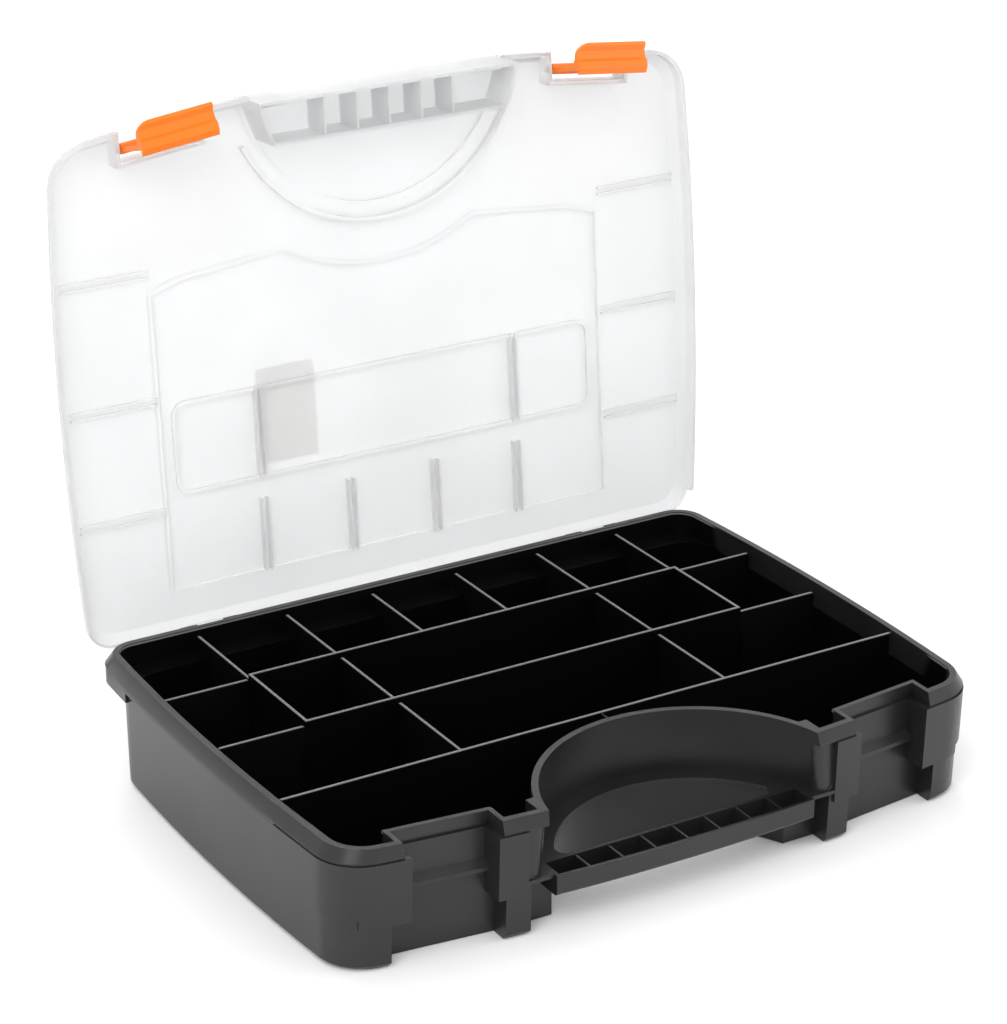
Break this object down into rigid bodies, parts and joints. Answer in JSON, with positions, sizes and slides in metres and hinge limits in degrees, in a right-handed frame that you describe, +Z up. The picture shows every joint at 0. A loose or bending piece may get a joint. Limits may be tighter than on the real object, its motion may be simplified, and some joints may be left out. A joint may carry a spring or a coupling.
{
  "type": "parts organizer case",
  "caption": "Carry-case parts organizer with a hinged frosted lid, snap clips, a moulded grip and lift-out dividers.",
  "frame": {"origin": "middle of the flat underside of the tray", "axes": "+X to the right along the front, +Y back to the hinge, +Z up; the lid is stored open"},
  "size_m": [0.3804, 0.3096, 0.341],
  "materials": {
    "tray": "satin, fine moulded texture",
    "divider": "satin",
    "lid": "frosted, translucent",
    "latch": "satin",
    "pin": "satin",
    "label": "blank sticker"
  },
  "bodies": {
    "base": {"base_tray": "tray", "hinge_pin_left": "pin", "hinge_pin_right": "pin"},
    "lid": {"lid": "lid", "lid_label": "label"},
    "latch_left": {"latch_left": "latch"},
    "latch_right": {"latch_right": "latch"},
    "divider_back_1": {"divider_back_1": "divider"},
    "divider_back_2": {"divider_back_2": "divider"},
    "divider_back_3": {"divider_back_3": "divider"},
    "divider_back_4": {"divider_back_4": "divider"},
    "divider_back_5": {"divider_back_5": "divider"},
    "divider_back_6": {"divider_back_6": "divider"},
    "divider_frame_left": {"divider_frame_left": "divider"},
    "divider_mid_left": {"divider_mid_left": "divider"},
    "divider_frame_right": {"divider_frame_right": "divider"},
    "divider_mid_right": {"divider_mid_right": "divider"},
    "divider_side_back_left": {"divider_side_back_left": "divider"},
    "divider_side_back_right": {"divider_side_back_right": "divider"},
    "divider_side_front_left": {"divider_side_front_left": "divider"},
    "divider_side_front_right": {"divider_side_front_right": "divider"}
  },
  "joints": [
    {"name": "lid_hinge", "type": "hinge", "parent": "base", "child": "lid", "pos_m": [0, 0.13717, 0.05974], "axis": [-1, 0, 0], "range_deg": [-94.58, 0]},
    {"name": "latch_left_hinge", "type": "hinge", "parent": "lid", "child": "latch_left", "pos_m": [-0.125, 0.15951, 0.31903], "axis": [-0.9939, -0.0088, -0.1098], "range_deg": [-12, 74]},
    {"name": "latch_right_hinge", "type": "hinge", "parent": "lid", "child": "latch_right", "pos_m": [0.125, 0.15951, 0.31903], "axis": [-0.9939, 0.0088, 0.1098], "range_deg": [-12, 74]},
    {"name": "divider_back_1_lift", "type": "slide", "parent": "base", "child": "divider_back_1", "axis": [0, 0, 1], "range_m": [0, 0.065]},
    {"name": "divider_back_2_lift", "type": "slide", "parent": "base", "child": "divider_back_2", "axis": [0, 0, 1], "range_m": [0, 0.065]},
    {"name": "divider_back_3_lift", "type": "slide", "parent": "base", "child": "divider_back_3", "axis": [0, 0, 1], "range_m": [0, 0.065]},
    {"name": "divider_back_4_lift", "type": "slide", "parent": "base", "child": "divider_back_4", "axis": [0, 0, 1], "range_m": [0, 0.065]},
    {"name": "divider_back_5_lift", "type": "slide", "parent": "base", "child": "divider_back_5", "axis": [0, 0, 1], "range_m": [0, 0.065]},
    {"name": "divider_back_6_lift", "type": "slide", "parent": "base", "child": "divider_back_6", "axis": [0, 0, 1], "range_m": [0, 0.065]},
    {"name": "divider_frame_left_lift", "type": "slide", "parent": "base", "child": "divider_frame_left", "axis": [0, 0, 1], "range_m": [0, 0.065]},
    {"name": "divider_mid_left_lift", "type": "slide", "parent": "base", "child": "divider_mid_left", "axis": [0, 0, 1], "range_m": [0, 0.065]},
    {"name": "divider_frame_right_lift", "type": "slide", "parent": "base", "child": "divider_frame_right", "axis": [0, 0, 1], "range_m": [0, 0.065]},
    {"name": "divider_mid_right_lift", "type": "slide", "parent": "base", "child": "divider_mid_right", "axis": [0, 0, 1], "range_m": [0, 0.065]},
    {"name": "divider_side_back_left_lift", "type": "slide", "parent": "base", "child": "divider_side_back_left", "axis": [0, 0, 1], "range_m": [0, 0.065]},
    {"name": "divider_side_back_right_lift", "type": "slide", "parent": "base", "child": "divider_side_back_right", "axis": [0, 0, 1], "range_m": [0, 0.065]},
    {"name": "divider_side_front_left_lift", "type": "slide", "parent": "base", "child": "divider_side_front_left", "axis": [0, 0, 1], "range_m": [0, 0.065]},
    {"name": "divider_side_front_right_lift", "type": "slide", "parent": "base", "child": "divider_side_front_right", "axis": [0, 0, 1], "range_m": [0, 0.065]}
  ]
}
